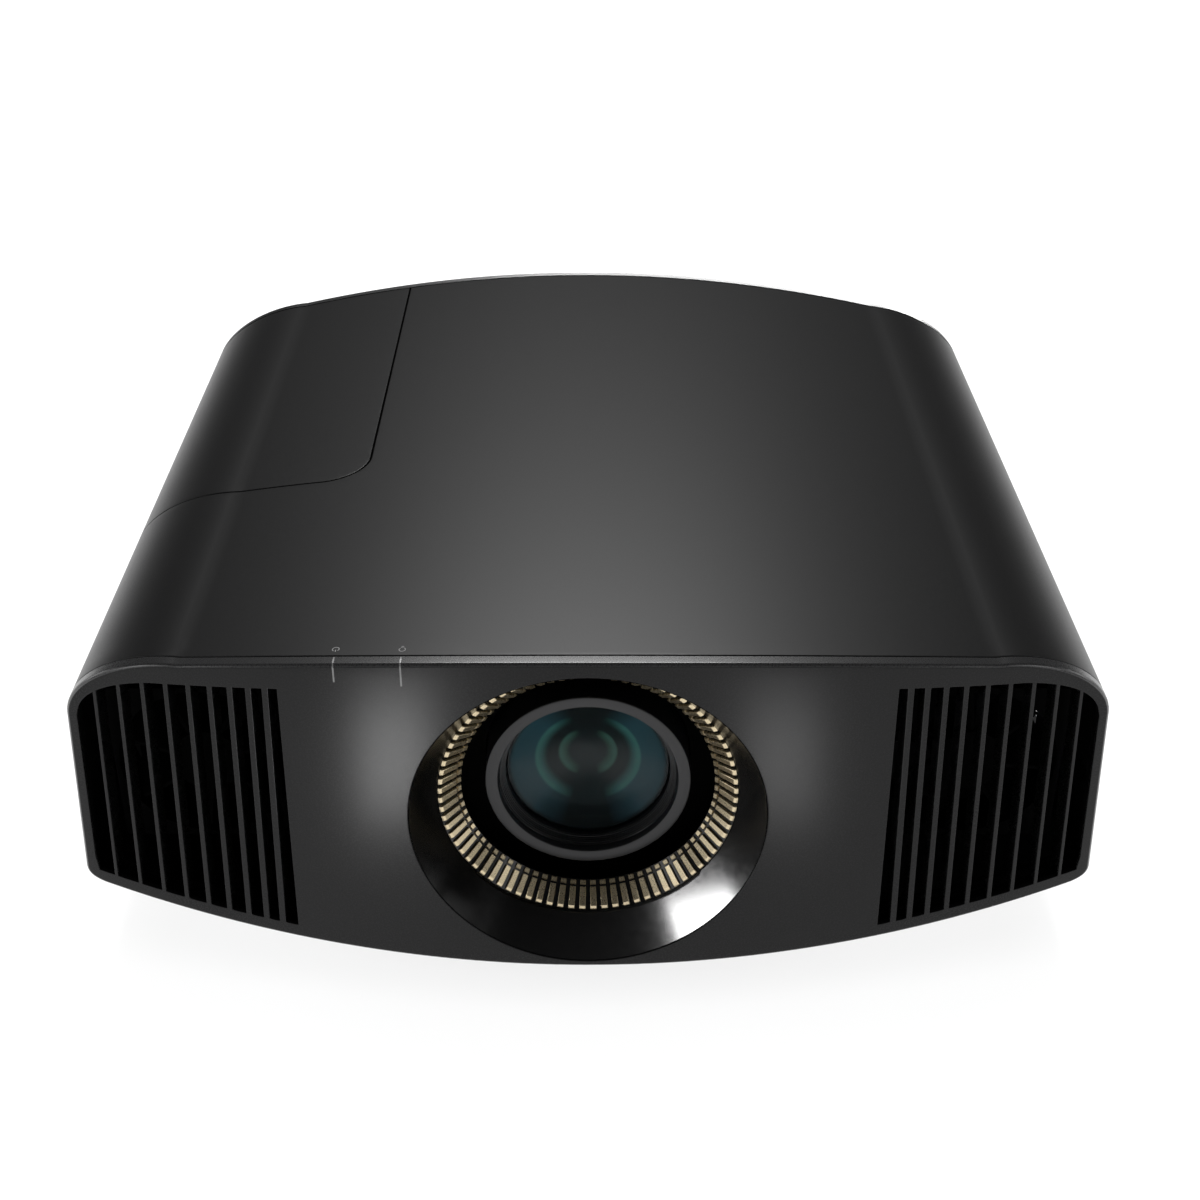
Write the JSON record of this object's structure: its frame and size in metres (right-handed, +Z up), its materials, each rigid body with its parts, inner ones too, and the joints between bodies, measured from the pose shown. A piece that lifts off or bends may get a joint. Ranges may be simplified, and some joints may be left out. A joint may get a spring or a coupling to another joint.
{
  "type": "home projector",
  "caption": "Home cinema projector with bowed front louvres, a central shifting zoom lens in a gold-toothed cone, lamp cover, fans, side keys and adjustable feet.",
  "frame": {"origin": "on the table, under the middle of the body's bounding box", "axes": "+X to the right as seen from the front, +Y towards the rear, +Z up; the lens looks along -Y"},
  "size_m": [0.4956, 0.4638, 0.2053],
  "materials": {
    "charcoal_shell": "satin",
    "bezel_satin": "satin",
    "gloss_black": "gloss",
    "matt_black": "matte",
    "gold_ring": "satin",
    "lens_grey": "satin",
    "coated_glass": "gloss",
    "rubber": "matte",
    "steel": "satin",
    "aluminium": "satin",
    "brass": "satin",
    "white_resin": "satin",
    "circuit_board": "satin",
    "light_guide": "gloss",
    "filter_foam": "matte"
  },
  "bodies": {
    "housing": {"top_cover": "charcoal_shell", "bottom_case": "charcoal_shell", "front_bezel": "bezel_satin", "indicator_power": "light_guide", "indicator_warning": "light_guide", "rear_panel": "charcoal_shell", "ac_inlet": "matt_black", "louvre_left": "bezel_satin", "louvre_right": "bezel_satin", "lens_funnel": "gloss_black", "gold_ring": "gold_ring", "lens_mount_plate": "aluminium", "vertical_shift_motor": "steel", "chassis_plate": "aluminium", "optical_engine": "matt_black", "panel_module_red": "aluminium", "panel_module_green": "aluminium", "panel_module_blue": "aluminium", "lamp_housing": "matt_black", "lamp_reflector": "aluminium", "main_board": "circuit_board", "power_supply_board": "circuit_board", "fan_frame_left": "matt_black", "fan_frame_right": "matt_black", "rear_foot_left": "rubber", "case_screw_left": "steel", "rear_foot_right": "rubber", "case_screw_right": "steel", "connector_panel": "matt_black", "hdmi_socket_pair": "steel", "lan_socket": "steel"},
    "lamp_cover": {"lamp_cover": "charcoal_shell", "lamp_cover_screw": "steel"},
    "filter": {"filter_cover": "charcoal_shell", "air_filter": "filter_foam"},
    "vertical_stage": {"vertical_shift_plate": "aluminium", "horizontal_shift_motor": "steel"},
    "vertical_screw": {"vertical_lead_screw": "steel"},
    "lens": {"lens_barrel": "matt_black", "focus_motor": "steel", "zoom_motor": "steel"},
    "horizontal_screw": {"horizontal_lead_screw": "steel"},
    "focus_ring": {"focus_ring": "white_resin"},
    "focus_pinion": {"focus_pinion": "brass"},
    "front_cell": {"front_lens_cell": "lens_grey", "front_lens_glass": "coated_glass"},
    "zoom_ring": {"zoom_ring": "white_resin"},
    "zoom_pinion": {"zoom_pinion": "brass"},
    "zoom_group": {"zoom_lens_group": "coated_glass"},
    "fan_left": {"fan_impeller_left": "matt_black"},
    "fan_right": {"fan_impeller_right": "matt_black"},
    "foot_left_pad": {"front_foot_left_pad": "rubber"},
    "foot_left_screw": {"front_foot_left": "matt_black"},
    "foot_right_pad": {"front_foot_right_pad": "rubber"},
    "foot_right_screw": {"front_foot_right": "matt_black"},
    "power_button": {"power_button": "matt_black"},
    "input_button": {"input_button": "matt_black"},
    "menu_button": {"menu_button": "matt_black"},
    "direction_pad": {"direction_pad": "matt_black"},
    "enter_button": {"enter_button": "matt_black"}
  },
  "joints": [
    {"name": "lamp_cover_slide", "type": "slide", "parent": "housing", "child": "lamp_cover", "axis": [-0.7071, 0, 0.7071], "range_m": [0, 0.12]},
    {"name": "filter_slide", "type": "slide", "parent": "housing", "child": "filter", "axis": [-1, 0, 0], "range_m": [0, 0.04]},
    {"name": "lens_shift_vertical", "type": "slide", "parent": "housing", "child": "vertical_stage", "axis": [0, 0, 1], "range_m": [-0.0075, 0.0075]},
    {"name": "vertical_screw_spin", "type": "hinge", "parent": "housing", "child": "vertical_screw", "pos_m": [0.088, -0.108, 0.031], "axis": [0, 0, 1], "range_deg": [-1080, 1080]},
    {"name": "lens_shift_horizontal", "type": "slide", "parent": "vertical_stage", "child": "lens", "axis": [1, 0, 0], "range_m": [-0.005, 0.005]},
    {"name": "horizontal_screw_spin", "type": "hinge", "parent": "vertical_stage", "child": "horizontal_screw", "pos_m": [-0.058, -0.108, 0.04], "axis": [1, 0, 0], "range_deg": [-720, 720]},
    {"name": "focus_ring_turn", "type": "hinge", "parent": "lens", "child": "focus_ring", "pos_m": [0, -0.152, 0.1146], "axis": [0, 1, 0], "range_deg": [-30, 30]},
    {"name": "focus_pinion_spin", "type": "hinge", "parent": "lens", "child": "focus_pinion", "pos_m": [-0.04738, -0.151, 0.16198], "axis": [0, 1, 0], "range_deg": [-258, 258]},
    {"name": "focus_cell_slide", "type": "slide", "parent": "lens", "child": "front_cell", "axis": [0, 1, 0], "range_m": [-0.002, 0.002]},
    {"name": "zoom_ring_turn", "type": "hinge", "parent": "lens", "child": "zoom_ring", "pos_m": [0, -0.128, 0.1146], "axis": [0, 1, 0], "range_deg": [-30, 30]},
    {"name": "zoom_pinion_spin", "type": "hinge", "parent": "lens", "child": "zoom_pinion", "pos_m": [0.04738, -0.127, 0.16198], "axis": [0, 1, 0], "range_deg": [-258, 258]},
    {"name": "zoom_group_slide", "type": "slide", "parent": "lens", "child": "zoom_group", "axis": [0, 1, 0], "range_m": [-0.006, 0.006]},
    {"name": "fan_left_spin", "type": "hinge", "parent": "housing", "child": "fan_left", "pos_m": [-0.185, -0.163, 0.1146], "axis": [0, 1, 0], "continuous": true},
    {"name": "fan_right_spin", "type": "hinge", "parent": "housing", "child": "fan_right", "pos_m": [0.185, -0.163, 0.1146], "axis": [0, 1, 0], "continuous": true},
    {"name": "foot_left_height", "type": "slide", "parent": "housing", "child": "foot_left_pad", "axis": [0, 0, -1], "range_m": [0, 0.012]},
    {"name": "foot_left_spin", "type": "hinge", "parent": "foot_left_pad", "child": "foot_left_screw", "pos_m": [-0.14, -0.14, 0.0033], "axis": [0, 0, 1], "range_deg": [-2170, 2170]},
    {"name": "foot_right_height", "type": "slide", "parent": "housing", "child": "foot_right_pad", "axis": [0, 0, -1], "range_m": [0, 0.012]},
    {"name": "foot_right_spin", "type": "hinge", "parent": "foot_right_pad", "child": "foot_right_screw", "pos_m": [0.14, -0.14, 0.0033], "axis": [0, 0, 1], "range_deg": [-2170, 2170]},
    {"name": "power_button_press", "type": "slide", "parent": "housing", "child": "power_button", "axis": [-1, 0, 0], "range_m": [0, 0.001], "stiffness_N_per_m": 1500},
    {"name": "input_button_press", "type": "slide", "parent": "housing", "child": "input_button", "axis": [-1, 0, 0], "range_m": [0, 0.001], "stiffness_N_per_m": 1500},
    {"name": "menu_button_press", "type": "slide", "parent": "housing", "child": "menu_button", "axis": [-1, 0, 0], "range_m": [0, 0.001], "stiffness_N_per_m": 1500},
    {"name": "enter_button_press", "type": "slide", "parent": "housing", "child": "enter_button", "axis": [-1, 0, 0], "range_m": [0, 0.001], "stiffness_N_per_m": 1500},
    {"name": "direction_pad_rock", "type": "hinge", "parent": "housing", "child": "direction_pad", "pos_m": [0.236, 0.13, 0.085], "axis": [0, 0, 1], "range_deg": [-4, 4], "stiffness_Nm_per_rad": 0.5}
  ],
  "couplings": [
    {"joint": "vertical_screw_spin", "follows": "lens_shift_vertical", "rad_per_m": 1570.8},
    {"joint": "horizontal_screw_spin", "follows": "lens_shift_horizontal", "rad_per_m": 1570.8},
    {"joint": "focus_pinion_spin", "follows": "focus_ring_turn", "ratio": -8.5714},
    {"joint": "focus_cell_slide", "follows": "focus_ring_turn", "m_per_rad": 0.0038},
    {"joint": "zoom_pinion_spin", "follows": "zoom_ring_turn", "ratio": -8.5714},
    {"joint": "zoom_group_slide", "follows": "zoom_ring_turn", "m_per_rad": 0.0114},
    {"joint": "foot_left_spin", "follows": "foot_left_height", "rad_per_m": 2513.3},
    {"joint": "foot_right_spin", "follows": "foot_right_height", "rad_per_m": 2513.3}
  ]
}
